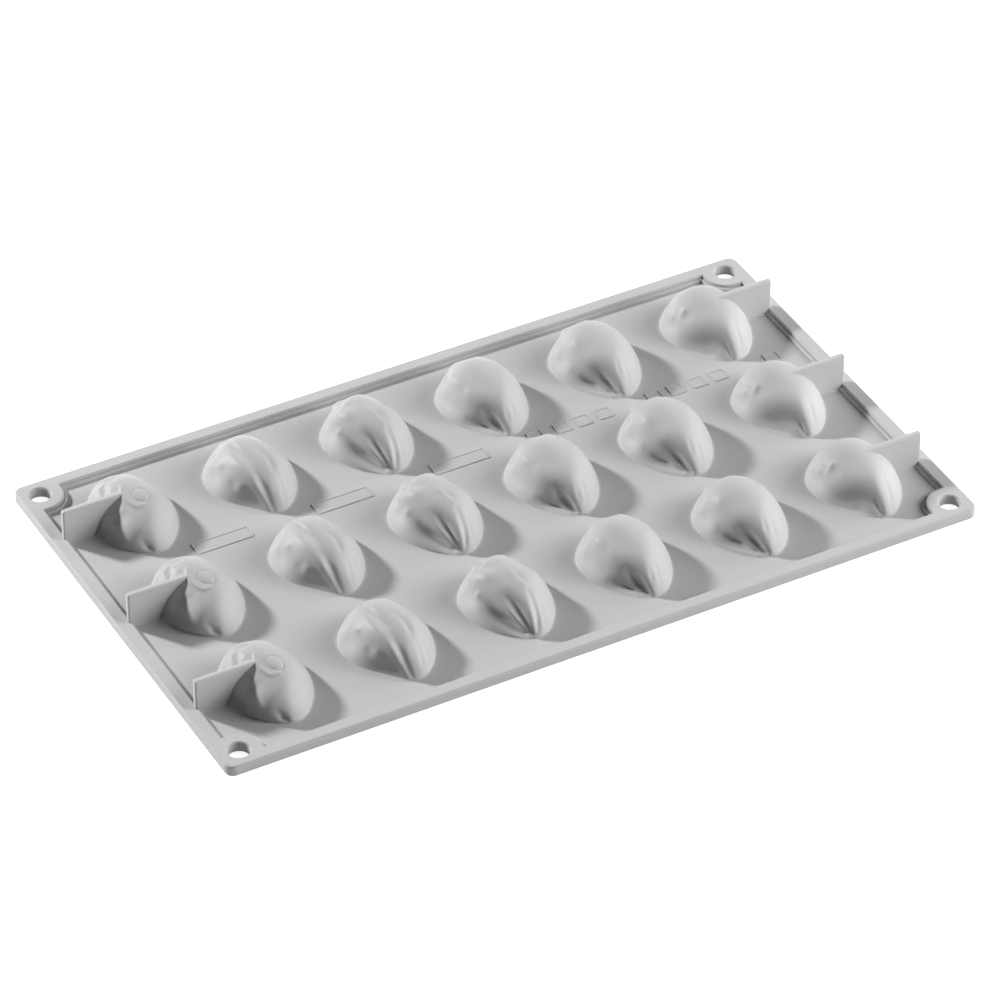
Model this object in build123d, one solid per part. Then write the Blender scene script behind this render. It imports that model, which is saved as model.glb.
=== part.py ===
"""Silicone baking mould with eighteen nut-half cups, lying on its flat filling face with the cups upwards.

The real mould is one pour of silicone rubber. It is modelled here zone by zone, as a toolmaker would cut
the tool: a flat web in one cell round each cup, a stiffening rim in rails and corner tabs, eighteen
thin-walled cups in six nut patterns, and six upright fins that carry the end cups. Neighbouring zones
meet face to face.

The frame has +X along the long side, +Y along the short side towards the cups' blunt ends, +Z up, and its
origin at the centre of the footprint, on the filling face. All sizes are in millimetres.
"""

from build123d import *
from dataclasses import dataclass, field
import math
import os

# Outside of the mould
LENGTH = 300.0
WIDTH = 175.0
CORNER_RADIUS = 3.5
EDGE_ROUNDING = 0.8
INNER_ROUNDING = 0.4
BASE_ROUNDING = 0.4

# Flat web and stiffening rim
WEB_THICKNESS = 1.8
RIM_HEIGHT = 4.1
RIM_WIDTH = 5.2
LEDGE_HEIGHT = 2.9
LEDGE_WIDTH = 1.1

# Hanging hole in each corner tab, and the lobe of the tab that runs round it
HOLE_DIAMETER = 8.0
HOLE_INSET = 7.7
HOLE_CHAMFER = 0.4
LOBE_WALL = 4.5

# Layout of the cups: centre lines of the end columns and rows, from the outside edges
COLUMNS = 6
ROWS = 3
END_MARGIN = 31.25
SIDE_MARGIN = 34.5

# Plan of a cup, seen from above: a blunt egg whose tip points along -Y
CUP_HALF_WIDTH = 16.5
CUP_TIP_REACH = 20.9
CUP_BLUNT_REACH = 20.0
CUP_WIDEST_AT = 2.7
CROWN_AT = 4.0
CUP_SHIFT = 0.4
TIP_SIDESTEP = 1.0
TIP_TAPER = 0.25

# Section of a cup: crown height before the pattern's share, and how fast the skin falls away from the
# crown, where 1 is a half ellipse and more is a leaner shoulder
CROWN_HEIGHT = 17.5
DOME_FALL = 1.4
CUP_WALL = 1.8
FOOT_WIDTH = 0.6
FOOT_STEP = 0.3
FADE_REACH = 0.9

# Typical crease and lump, which the patterns take their shares of
CREASE_WIDTH = 2.0
CREASE_DEPTH = 1.5
LUMP_RADIUS = 2.5
LUMP_HEIGHT = 0.8

# Fins between the rim and the end cups, whose tops lie a little below the cup's crown
FIN_THICKNESS = 2.4
FIN_DROP = 0.7
FIN_SEAT = 1.0
FIN_ROUNDING = 0.7

# How finely a cup's skin is followed: points round a ring, rings from foot to crown, reach of the last ring
RING_POINTS = 40
RINGS = 16
LAST_REACH = 0.06

# Places closer than this count as the same
SAME = 1e-6

# Worked out from the sizes above
COLUMN_PITCH = (LENGTH - 2 * END_MARGIN) / (COLUMNS - 1)
ROW_PITCH = (WIDTH - 2 * SIDE_MARGIN) / (ROWS - 1)
LOBE_RADIUS = HOLE_DIAMETER / 2 + LOBE_WALL
TAB_REACH = HOLE_INSET + LOBE_RADIUS
TAB_CUT = TAB_REACH + LEDGE_WIDTH
FOOT_HEIGHT = WEB_THICKNESS + FOOT_STEP


@dataclass(frozen=True)
class Crease:
    """A valley pressed into a cup along a line, or a ridge raised on it when the depth is below zero.

    Both ends are places on the cup's dial: an angle round the crown in degrees, and a reach from 0 at the
    crown to 1 at the foot. Width and depth are shares of the typical crease's.
    """

    start: tuple
    end: tuple
    width: float
    depth: float


@dataclass(frozen=True)
class Lump:
    """A round swelling on a cup, or a hollow when the height is below zero, in shares of a typical lump."""

    place: tuple
    radius: float
    height: float


@dataclass(frozen=True)
class Ring:
    """A raised or sunk ring round a place on a cup, in shares of a typical lump."""

    place: tuple
    radius: float
    width: float
    height: float


@dataclass(frozen=True)
class Pattern:
    """One nut pattern: how high the cup stands, in crown heights, and what its skin carries."""

    height: float
    creases: tuple = ()
    lumps: tuple = ()
    rings: tuple = field(default=())

    def top(self):
        """Height of the cup's crown above the filling face."""
        return self.height * CROWN_HEIGHT


# Where the creases run together, just short of the tip
TIP = (-100, 0.95)

PATTERNS = (
    Pattern(
        0.97,
        creases=(
            Crease((-96, 0.4), (-103, 0.9), 1.6, -0.4),
            Crease((-115, 0.74), TIP, 0.7, 0.9),
            Crease((160, 0.6), (120, 0.25), 0.9, 0.4),
        ),
        lumps=(
            Lump((-135, 0.72), 2.0, -1.5),
            Lump((-75, 0.2), 1.1, 0.5),
            Lump((-143, 0.45), 0.7, 1.1),
            Lump((150, 0.45), 1.0, 1.0),
            Lump((110, 0.42), 1.1, 0.7),
            Lump((20, 0.5), 3.0, -1.9),
        ),
        rings=(Ring((-75, 0.2), 1.2, 0.3, -0.4),),
    ),
    Pattern(
        0.97,
        creases=(
            Crease((-118, 0.22), TIP, 1.2, 1.1),
            Crease((-145, 0.3), (-104, 0.9), 1.3, -0.8),
            Crease((-78, 0.42), (-95, 0.92), 1.3, -0.4),
            Crease((150, 0.4), (-160, 0.15), 1.0, 0.5),
            Crease((-40, 0.2), (-75, 0.55), 0.9, 0.4),
        ),
        lumps=(
            Lump((-140, 0.72), 2.2, -2.1),
            Lump((-152, 0.7), 0.6, -0.9),
            Lump((-168, 0.6), 0.7, 0.8),
            Lump((178, 0.66), 1.0, -0.8),
            Lump((20, 0.5), 3.0, -1.2),
        ),
    ),
    Pattern(
        1.03,
        creases=(
            Crease((-128, 0.25), TIP, 1.1, 1.1),
            Crease((-140, 0.36), (-103, 0.93), 0.6, -0.5),
            Crease((-158, 0.6), (-107, 0.94), 1.3, 1.2),
            Crease((-84, 0.45), TIP, 0.6, 0.6),
            Crease((-56, 0.16), (-82, 0.45), 0.6, 0.4),
        ),
        lumps=(
            Lump((-178, 0.6), 0.6, 1.0),
            Lump((-169, 0.55), 0.6, -1.0),
            Lump((165, 0.42), 1.0, 1.0),
            Lump((115, 0.55), 1.0, 1.0),
            Lump((75, 0.3), 1.2, 0.9),
            Lump((178, 0.74), 1.2, -0.8),
            Lump((20, 0.5), 3.0, -1.9),
        ),
    ),
    Pattern(
        1.02,
        creases=(
            Crease((-142, 0.5), TIP, 1.2, 1.3),
            Crease((-156, 0.76), (-113, 0.95), 0.9, 1.0),
            Crease((-92, 0.4), (-101, 0.9), 1.4, -0.4),
            Crease((170, 0.36), (-152, 0.44), 1.0, -0.4),
        ),
        lumps=(Lump((-172, 0.62), 1.6, -0.8), Lump((110, 0.6), 1.2, 0.6)),
    ),
    Pattern(
        1.02,
        creases=(
            Crease((-146, 0.48), TIP, 1.2, 1.3),
            Crease((-158, 0.74), (-112, 0.95), 1.0, 1.1),
            Crease((-94, 0.35), (-101, 0.9), 1.4, -0.4),
        ),
        lumps=(
            Lump((-168, 0.38), 1.1, 0.8),
            Lump((172, 0.6), 1.2, -0.8),
            Lump((80, 0.3), 1.0, 0.4),
            Lump((125, 0.62), 1.0, 0.8),
        ),
    ),
    Pattern(
        1.0,
        creases=(
            Crease((-120, 0.66), TIP, 0.7, 0.9),
            Crease((-88, 0.35), (-104, 0.9), 1.5, -0.6),
            Crease((160, 0.44), (-156, 0.47), 0.7, -0.4),
        ),
        lumps=(
            Lump((-140, 0.68), 2.0, -2.1),
            Lump((-125, 0.92), 0.7, 0.6),
            Lump((162, 0.62), 0.6, 0.7),
            Lump((170, 0.76), 1.2, -0.6),
        ),
        rings=(Ring((-175, 0.12), 1.1, 0.3, 0.4),),
    ),
)


def egg(angle, grow=0.0):
    """Point of a cup's plan outline at an angle round the crown, grown outwards by so many millimetres."""
    side, along = math.cos(angle), math.sin(angle)
    tipward = (1 - along) / 2
    x = CUP_SHIFT + (CUP_HALF_WIDTH + grow) * side * (1 - TIP_TAPER * tipward**4) + TIP_SIDESTEP * tipward**2
    reach = (CUP_TIP_REACH + CUP_WIDEST_AT if along < 0 else CUP_BLUNT_REACH - CUP_WIDEST_AT) + grow
    return x, CUP_WIDEST_AT + along * reach


def skin(u, v, top, inset):
    """Point of a plain cup at dial place u, v, moved in from the outside by the inset."""
    x, y = egg(math.atan2(v, u), -inset)
    swing = math.hypot(u, v) * math.pi / 2
    spread = math.sin(swing)
    fall = max(0, math.cos(swing)) ** DOME_FALL
    z = FOOT_HEIGHT + (top - inset - FOOT_HEIGHT) * fall
    return Vector(CUP_SHIFT + spread * (x - CUP_SHIFT), CROWN_AT + spread * (y - CROWN_AT), z)


def on_dial(place):
    """Dial place, as plain u and v, of an angle in degrees and a reach."""
    angle, reach = math.radians(place[0]), place[1]
    return reach * math.cos(angle), reach * math.sin(angle)


def relief(u, v, pattern):
    """How far a pattern lifts the skin of a cup at a dial place, in millimetres."""
    scale = (CUP_HALF_WIDTH + pattern.top() - FOOT_HEIGHT) * math.pi / 4
    lift = 0.0
    for crease in pattern.creases:
        (u0, v0), (u1, v1) = on_dial(crease.start), on_dial(crease.end)
        du, dv = u1 - u0, v1 - v0
        along = ((u - u0) * du + (v - v0) * dv) / (du * du + dv * dv)
        nearest = max(0, min(1, along))
        off = scale * math.hypot(u - u0 - nearest * du, v - v0 - nearest * dv)
        strength = 0.35 + 0.65 * math.sin(math.pi / 2 * nearest)
        hollow = math.exp(-((off / (crease.width * CREASE_WIDTH)) ** 2))
        lift -= crease.depth * CREASE_DEPTH * strength * hollow
    for lump in pattern.lumps:
        u0, v0 = on_dial(lump.place)
        off = scale * math.hypot(u - u0, v - v0)
        lift += lump.height * LUMP_HEIGHT * math.exp(-((off / (lump.radius * LUMP_RADIUS)) ** 2))
    for ring in pattern.rings:
        u0, v0 = on_dial(ring.place)
        off = scale * math.hypot(u - u0, v - v0) - ring.radius * LUMP_RADIUS
        lift += ring.height * LUMP_HEIGHT * math.exp(-((off / (ring.width * LUMP_RADIUS)) ** 2))
    fade = (1 - math.hypot(u, v)) / (1 - FADE_REACH)
    return lift * max(0, min(1, fade))


def skin_point(u, v, pattern, inset):
    """Point of a cup's skin at dial place u, v, with the pattern raised square to the plain skin."""
    step = 1e-3
    top = pattern.top()
    across = skin(u + step, v, top, inset) - skin(u - step, v, top, inset)
    down = skin(u, v + step, top, inset) - skin(u, v - step, top, inset)
    return skin(u, v, top, inset) + across.cross(down).normalized() * relief(u, v, pattern)


def ring_spline(points):
    """Closed smooth curve through points that stand at even angles round a cup."""
    knots = [i / RING_POINTS for i in range(RING_POINTS + 1)]
    return Wire([Edge.make_spline(points, periodic=True, parameters=knots)])


def egg_ring(z, grow):
    """Level outline of a cup at a height, grown outwards by so many millimetres."""
    turns = [2 * math.pi * i / RING_POINTS for i in range(RING_POINTS)]
    return ring_spline([Vector(*egg(turn, grow), z) for turn in turns])


def skin_ring(reach, pattern, inset):
    """Ring of a cup's skin at one reach from the crown."""
    turns = [2 * math.pi * i / RING_POINTS for i in range(RING_POINTS)]
    return ring_spline(
        [skin_point(reach * math.cos(turn), reach * math.sin(turn), pattern, inset) for turn in turns]
    )


def dome(pattern, inset):
    """Full solid under a cup's skin, lofted ring by ring from the foot's height to the crown."""
    rings = [egg_ring(FOOT_HEIGHT, -inset)]
    for count in range(1, RINGS + 1):
        rings.append(skin_ring(1 - (1 - LAST_REACH) * count / RINGS, pattern, inset))
    crown = Vertex(*skin_point(1e-4, 0, pattern, inset))
    return Solid.make_loft([*rings, crown], True)


def foot(height, grow):
    """Egg-shaped prism on a cup's outline, from the filling face up to a height."""
    return extrude(Face(egg_ring(0, grow)), height)


def filled_cup(pattern):
    """Outer form of a cup as a full solid, with its foot."""
    return foot(FOOT_HEIGHT, FOOT_WIDTH) + dome(pattern, 0)


def curved_faces(solid):
    """The faces of a solid that are not flat."""
    return [face for face in solid.faces() if face.geom_type != GeomType.PLANE]


def cup_shell(pattern):
    """A cup as a thin shell: dome outside, nut-shaped cavity inside, and the foot that joins the web."""
    faces = []
    for solid in (dome(pattern, 0), dome(pattern, CUP_WALL)):
        faces += curved_faces(solid)
    for grow in (FOOT_WIDTH, -CUP_WALL):
        faces += curved_faces(foot(FOOT_HEIGHT, grow))
    faces.append(Face(egg_ring(FOOT_HEIGHT, FOOT_WIDTH), [egg_ring(FOOT_HEIGHT, 0)]))
    faces.append(Face(egg_ring(0, FOOT_WIDTH), [egg_ring(0, -CUP_WALL)]))
    return Solid(Shell(faces))


def column_x(column):
    """Centre line of a column, counted from 1 at the -X end."""
    return (column - (COLUMNS + 1) / 2) * COLUMN_PITCH


def row_y(row):
    """Centre line of a row, counted from 1 at the +Y side."""
    return ((ROWS + 1) / 2 - row) * ROW_PITCH


def inner_outline(grow):
    """Plan of the space inside the rim, with its corners cut round the tab lobes, drawn in by a width."""
    inside = Rectangle(LENGTH - 2 * (RIM_WIDTH + grow), WIDTH - 2 * (RIM_WIDTH + grow))
    reach = TAB_REACH + grow
    for sx in (-1, 1):
        for sy in (-1, 1):
            lobe = Rectangle(reach, reach)
            nearest = lobe.vertices().sort_by_distance((-sx * reach, -sy * reach))[0]
            lobe = fillet(nearest, LOBE_RADIUS + grow)
            inside -= Pos(sx * (LENGTH - reach) / 2, sy * (WIDTH - reach) / 2) * lobe
    return inside


def rim_frame():
    """The whole raised rim: two steps inwards down to the web, rounded edges and the hanging holes."""
    outline = RectangleRounded(LENGTH, WIDTH, CORNER_RADIUS)
    tall = extrude(outline - inner_outline(0), RIM_HEIGHT)
    tall = fillet(outer_edges(tall, RIM_HEIGHT), EDGE_ROUNDING)
    tall = fillet(inner_edges(tall, RIM_HEIGHT), INNER_ROUNDING)
    ledge = extrude(outline - inner_outline(LEDGE_WIDTH), LEDGE_HEIGHT)
    ledge = fillet(inner_edges(ledge, LEDGE_HEIGHT), INNER_ROUNDING)
    frame = tall + ledge
    frame = fillet(outer_edges(frame, 0), BASE_ROUNDING)
    drill = Cylinder(HOLE_DIAMETER / 2, 3 * RIM_HEIGHT)
    sink = Cone(HOLE_DIAMETER / 2, HOLE_DIAMETER / 2 + 2 * HOLE_CHAMFER, 2 * HOLE_CHAMFER)
    for x, y in hole_centres():
        frame -= Pos(x, y) * drill
        frame -= Pos(x, y, RIM_HEIGHT) * sink
    return frame


def outer_edges(solid, height):
    """Edges of a rim solid at one height that run along the outside of the mould."""
    margin = EDGE_ROUNDING / 2
    return [edge for edge in level_edges(solid, height) if edge_reach(edge) > -margin]


def inner_edges(solid, height):
    """Edges of a rim solid at one height that face the web."""
    margin = RIM_WIDTH / 2
    return [edge for edge in level_edges(solid, height) if edge_reach(edge) < -margin]


def level_edges(solid, height):
    """Edges of a solid that lie level at one height."""
    return solid.edges().filter_by_position(Axis.Z, height, height)


def edge_reach(edge):
    """How far the middle of an edge lies outside the mould's outline, below zero inside it."""
    middle = edge @ 0.5
    return max(abs(middle.X) - LENGTH / 2, abs(middle.Y) - WIDTH / 2)


def hole_centres():
    """Centres of the four hanging holes."""
    x, y = LENGTH / 2 - HOLE_INSET, WIDTH / 2 - HOLE_INSET
    return [(-x, y), (-x, -y), (x, y), (x, -y)]


def rim_pieces(frame):
    """The rim cut into four rails and four corner tabs, by name."""
    half_x, half_y = LENGTH / 2, WIDTH / 2
    spans = {
        "back_left": (-half_x, TAB_CUT - half_x, half_y - TAB_CUT, half_y),
        "front_left": (-half_x, TAB_CUT - half_x, -half_y, TAB_CUT - half_y),
        "back_right": (half_x - TAB_CUT, half_x, half_y - TAB_CUT, half_y),
        "front_right": (half_x - TAB_CUT, half_x, -half_y, TAB_CUT - half_y),
    }
    pieces = {}
    for name, (x0, x1, y0, y1) in spans.items():
        pieces["corner_tab_" + name] = frame & between(x0, x1, y0, y1)
    pieces["rim_rail_left"] = frame & between(-half_x, 0, TAB_CUT - half_y, half_y - TAB_CUT)
    pieces["rim_rail_right"] = frame & between(0, half_x, TAB_CUT - half_y, half_y - TAB_CUT)
    pieces["rim_rail_front"] = frame & between(TAB_CUT - half_x, half_x - TAB_CUT, -half_y, 0)
    pieces["rim_rail_back"] = frame & between(TAB_CUT - half_x, half_x - TAB_CUT, 0, half_y)
    return pieces


def between(x0, x1, y0, y1):
    """A block over part of the plan, tall enough to take in the whole rim."""
    return Pos((x0 + x1) / 2, (y0 + y1) / 2) * Box(x1 - x0, y1 - y0, 4 * RIM_HEIGHT)


def web_cell(row, column):
    """The web round one cup: its share of the flat sheet, with an egg-shaped hole for the cup's foot.

    Cells meet halfway between two cups, and the outer ones reach the rim's ledge.
    """
    x, y = column_x(column), row_y(row)
    x0 = -LENGTH / 2 if column == 1 else x - COLUMN_PITCH / 2
    x1 = LENGTH / 2 if column == COLUMNS else x + COLUMN_PITCH / 2
    y0 = -WIDTH / 2 if row == ROWS else y - ROW_PITCH / 2
    y1 = WIDTH / 2 if row == 1 else y + ROW_PITCH / 2
    sheet = extrude(inner_outline(LEDGE_WIDTH), WEB_THICKNESS) & between(x0, x1, y0, y1)
    return sheet - Pos(x, y) * foot(WEB_THICKNESS, FOOT_WIDTH)


def fin(side, row, crown, cup, frame):
    """Upright fin on a row's centre line, from its seat on the rim to the end cup, standing on the web.

    The side is -1 at the -X end and 1 at the other, and crown is the height of the end cup. The cup is
    that cup's filled form, in place, and the frame is the whole rim; the fin is cut to fit both.
    """
    cup_x = abs(column_x(1))
    outer_end = LENGTH / 2 - RIM_WIDTH + FIN_SEAT
    length = outer_end - cup_x
    middle = side * (cup_x + length / 2)
    top = crown - FIN_DROP
    height = top - WEB_THICKNESS
    plate = Pos(middle, 0, WEB_THICKNESS + height / 2) * Box(length, FIN_THICKNESS, height)
    plate = fillet(free_edges(plate, side * outer_end, top), FIN_ROUNDING)
    strip = Box(length, FIN_THICKNESS + 2 * FOOT_WIDTH, FOOT_STEP)
    plate += Pos(middle, 0, WEB_THICKNESS + FOOT_STEP / 2) * strip
    plate = Pos(0, row_y(row)) * plate - cup - frame
    return max(plate.solids(), key=lambda piece: piece.volume)


def free_edges(plate, outer_end, top):
    """Edges of a fin's plate along its top and up its outer end."""
    edges = []
    for edge in plate.edges():
        spot = edge @ 0.5
        at_end = abs(spot.X - outer_end) < SAME
        at_top = abs(spot.Z - top) < SAME
        along = abs(abs(spot.Y) - FIN_THICKNESS / 2) < SAME
        if (at_end and (along or at_top)) or (at_top and along):
            edges.append(edge)
    return edges


def write(shape, name):
    """Writes one node's STEP file."""
    export_step(shape, f"parts/{name}.step")
    print(name, len(shape.solids()), round(shape.volume, 1))


def main():
    """Builds every zone of the mould and writes it."""
    os.makedirs("parts", exist_ok=True)
    frame = rim_frame()
    for name, piece in rim_pieces(frame).items():
        write(piece, name)
    for column, pattern in enumerate(PATTERNS, start=1):
        cup = cup_shell(pattern)
        filled = filled_cup(pattern) if column in (1, COLUMNS) else None
        for row in range(1, ROWS + 1):
            place = Pos(column_x(column), row_y(row))
            write(web_cell(row, column), f"web_cell_{row}_{column}")
            write(place * cup, f"cup_{row}_{column}")
            if column == 1:
                write(fin(-1, row, pattern.top(), place * filled, frame), f"fin_left_{row}")
            if column == COLUMNS:
                write(fin(1, row, pattern.top(), place * filled, frame), f"fin_right_{row}")


main()
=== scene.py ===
"""Looks of a silicone baking mould with nut-half cups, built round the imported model.

The mould lies on its filling face with the cups upwards. X runs along the long side, Y along the short side
towards the cups' blunt ends, Z up. Blender works in metres; sizes of the mould are fields in millimetres
and pass through MM where a mesh is made.
"""

import logging
import math
from dataclasses import dataclass, field
from enum import Enum

import bmesh
import bpy
import numpy as np
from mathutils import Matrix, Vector


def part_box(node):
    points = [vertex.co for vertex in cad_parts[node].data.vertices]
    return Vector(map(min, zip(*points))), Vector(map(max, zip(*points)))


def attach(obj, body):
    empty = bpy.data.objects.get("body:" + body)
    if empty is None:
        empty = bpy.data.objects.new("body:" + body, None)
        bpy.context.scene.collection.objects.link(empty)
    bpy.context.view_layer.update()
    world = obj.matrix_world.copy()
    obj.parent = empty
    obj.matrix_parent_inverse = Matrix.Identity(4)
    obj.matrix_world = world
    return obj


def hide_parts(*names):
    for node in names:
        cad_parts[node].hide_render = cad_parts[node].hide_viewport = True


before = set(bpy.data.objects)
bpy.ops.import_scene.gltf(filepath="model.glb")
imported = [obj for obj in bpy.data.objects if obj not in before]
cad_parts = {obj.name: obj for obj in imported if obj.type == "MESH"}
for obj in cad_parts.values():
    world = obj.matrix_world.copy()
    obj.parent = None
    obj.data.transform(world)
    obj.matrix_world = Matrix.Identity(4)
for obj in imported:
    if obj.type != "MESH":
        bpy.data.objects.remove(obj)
log = logging.getLogger("mould")

MM = 0.001
BODY = "root"
ROWS = (1, 2, 3)
COLUMNS = (1, 2, 3, 4, 5, 6)

# Light bends this much in silicone rubber.
SILICONE_IOR = 1.41
# Pointiness of a clear hollow and of a clear edge, 0.5 being flat. The painted shade in hollows and the
# painted highlight on edges are at full strength there.
HOLLOW_POINTINESS = 0.46
EDGE_POINTINESS = 0.54
# Octaves of the noise in the pigment's clouds and in the moulded grain.
CLOUD_DETAIL = 4.0
GRAIN_DETAIL = 2.0


class End(Enum):
    """The two short ends of the mould."""

    LEFT = -1
    RIGHT = 1


class MarkKind(Enum):
    """Blank plates raised on the web: width and depth of each kind in millimetres."""

    PLATE = (22.5, 6.4)
    SQUARE = (6.0, 6.0)


def new_socket(
    tree: bpy.types.NodeTree, name: str, kind: str, value: object = None, out: bool = False
) -> None:
    """Adds one socket to a node group.

    Args:
        tree: the node group.
        name: the socket's name.
        kind: Float, Color or Vector.
        value: the default value of an input.
        out: whether the socket is an output.
    """
    way = "OUTPUT" if out else "INPUT"
    socket = tree.interface.new_socket(name=name, in_out=way, socket_type=f"NodeSocket{kind}")
    if value is not None:
        socket.default_value = value


def math_node(tree: bpy.types.NodeTree, operation: str, *inputs: object) -> bpy.types.NodeSocket:
    """Adds a math node.

    Args:
        tree: the tree that gets the node.
        operation: the node's operation.
        inputs: sockets or plain numbers.

    Returns:
        The node's output socket.
    """
    node = tree.nodes.new("ShaderNodeMath")
    node.operation = operation
    for slot, value in zip(node.inputs, inputs):
        if isinstance(value, bpy.types.NodeSocket):
            tree.links.new(value, slot)
        else:
            slot.default_value = value
    return node.outputs[0]


def noise_node(
    tree: bpy.types.NodeTree, place: bpy.types.NodeSocket, scale: bpy.types.NodeSocket, detail: float
) -> bpy.types.NodeSocket:
    """Adds a noise texture on a coordinate.

    Args:
        tree: the tree that gets the node.
        place: the coordinate socket.
        scale: the socket of the scale, in waves a metre.
        detail: octaves of the noise.

    Returns:
        The noise's value socket.
    """
    node = tree.nodes.new("ShaderNodeTexNoise")
    node.inputs["Detail"].default_value = detail
    tree.links.new(place, node.inputs["Vector"])
    tree.links.new(scale, node.inputs["Scale"])
    return node.outputs["Fac"]


def tone_group() -> bpy.types.NodeTree:
    """Node group for the colour of cured silicone: cloudy pigment, with a painted highlight on edges and
    painted shade in creases.

    Returns:
        The node group, built once.
    """
    name = "silicone_tone"
    if name in bpy.data.node_groups:
        return bpy.data.node_groups[name]
    tree = bpy.data.node_groups.new(name, "ShaderNodeTree")
    new_socket(tree, "Base", "Color", (0.6, 0.6, 0.6, 1.0))
    new_socket(tree, "Cloud Scale", "Float", 40.0)
    new_socket(tree, "Cloud", "Float", 0.03)
    new_socket(tree, "Painted Edge Light", "Float", 0.1)
    new_socket(tree, "Color", "Color", out=True)
    ends = tree.nodes.new("NodeGroupInput")
    result = tree.nodes.new("NodeGroupOutput")
    place = tree.nodes.new("ShaderNodeTexCoord").outputs["Object"]
    cloud = noise_node(tree, place, ends.outputs["Cloud Scale"], CLOUD_DETAIL)
    swing = math_node(tree, "MULTIPLY", math_node(tree, "SUBTRACT", cloud, 0.5), ends.outputs["Cloud"])
    # Painted light: pointiness makes edges paler as a painted highlight and creases darker as painted shade.
    bend = tree.nodes.new("ShaderNodeNewGeometry").outputs["Pointiness"]
    spread = tree.nodes.new("ShaderNodeMapRange")
    spread.inputs["From Min"].default_value = HOLLOW_POINTINESS
    spread.inputs["From Max"].default_value = EDGE_POINTINESS
    spread.inputs["To Min"].default_value = -1.0
    tree.links.new(bend, spread.inputs["Value"])
    edge = math_node(tree, "MULTIPLY", spread.outputs["Result"], ends.outputs["Painted Edge Light"])
    gain = math_node(tree, "ADD", math_node(tree, "ADD", 1.0, swing), edge)
    scaled = tree.nodes.new("ShaderNodeVectorMath")
    scaled.operation = "SCALE"
    tree.links.new(ends.outputs["Base"], scaled.inputs[0])
    tree.links.new(gain, scaled.inputs["Scale"])
    tree.links.new(scaled.outputs[0], result.inputs["Color"])
    return tree


def grain_group() -> bpy.types.NodeTree:
    """Node group for the skin that the steel tool leaves on silicone: fine grain with slow ripples.

    Returns:
        The node group, built once.
    """
    name = "mould_grain"
    if name in bpy.data.node_groups:
        return bpy.data.node_groups[name]
    tree = bpy.data.node_groups.new(name, "ShaderNodeTree")
    new_socket(tree, "Grain Scale", "Float", 2600.0)
    new_socket(tree, "Ripple Scale", "Float", 110.0)
    new_socket(tree, "Ripple", "Float", 1.0)
    new_socket(tree, "Height", "Float", out=True)
    ends = tree.nodes.new("NodeGroupInput")
    result = tree.nodes.new("NodeGroupOutput")
    place = tree.nodes.new("ShaderNodeTexCoord").outputs["Object"]
    grain = noise_node(tree, place, ends.outputs["Grain Scale"], GRAIN_DETAIL)
    ripple = noise_node(tree, place, ends.outputs["Ripple Scale"], GRAIN_DETAIL)
    slow = math_node(tree, "MULTIPLY", ripple, ends.outputs["Ripple"])
    tree.links.new(math_node(tree, "ADD", grain, slow), result.inputs["Height"])
    return tree


@dataclass(frozen=True)
class SiliconeFinish:
    """One finish of the grey silicone. Colours are linear, bump heights are in metres."""

    name: str
    base: tuple[float, float, float] = (0.5, 0.5, 0.5)
    roughness: float = 0.5
    cloud_scale: float = 40.0
    cloud: float = 0.04
    # Strength of the painted highlight on edges and the painted shade in creases.
    painted_edge_light: float = 0.06
    grain_scale: float = 2600.0
    ripple_scale: float = 110.0
    ripple: float = 1.5
    bump: float = 0.00003
    specular: float = 0.2

    def material(self) -> bpy.types.Material:
        """Builds the material, or gives the one already built.

        Returns:
            The material of this finish.
        """
        if self.name in bpy.data.materials:
            return bpy.data.materials[self.name]
        made = bpy.data.materials.new(self.name)
        made.use_nodes = True
        tree = made.node_tree
        shader = tree.nodes["Principled BSDF"]
        tone = tree.nodes.new("ShaderNodeGroup")
        tone.node_tree = tone_group()
        tone.inputs["Base"].default_value = (*self.base, 1.0)
        tone.inputs["Cloud Scale"].default_value = self.cloud_scale
        tone.inputs["Cloud"].default_value = self.cloud
        tone.inputs["Painted Edge Light"].default_value = self.painted_edge_light
        grain = tree.nodes.new("ShaderNodeGroup")
        grain.node_tree = grain_group()
        grain.inputs["Grain Scale"].default_value = self.grain_scale
        grain.inputs["Ripple Scale"].default_value = self.ripple_scale
        grain.inputs["Ripple"].default_value = self.ripple
        bump = tree.nodes.new("ShaderNodeBump")
        bump.inputs["Distance"].default_value = self.bump
        tree.links.new(tone.outputs["Color"], shader.inputs["Base Color"])
        tree.links.new(grain.outputs["Height"], bump.inputs["Height"])
        tree.links.new(bump.outputs["Normal"], shader.inputs["Normal"])
        shader.inputs["Roughness"].default_value = self.roughness
        shader.inputs["Specular IOR Level"].default_value = self.specular
        shader.inputs["IOR"].default_value = SILICONE_IOR
        return made


# Each finish's painted edge light adds a painted highlight on edges and painted shade in creases.
WEB_FINISH = SiliconeFinish("silicone_web", cloud=0.03, painted_edge_light=0.0, ripple_scale=60.0)
RIM_FINISH = SiliconeFinish("silicone_rim", cloud=0.05, painted_edge_light=0.04)
CUP_FINISH = SiliconeFinish("silicone_cup", roughness=0.45, painted_edge_light=0.02)
CAVITY_FINISH = SiliconeFinish("silicone_cavity", roughness=0.3, ripple=0.5, specular=0.5)
# The fins' silicone is darker than the rest of the mould, as painted shade, and has a strong painted
# highlight on its edges.
FIN_PAINTED_SHADE_FINISH = SiliconeFinish("silicone_fin_painted_shade", base=(0.43, 0.43, 0.43), painted_edge_light=0.3)


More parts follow.
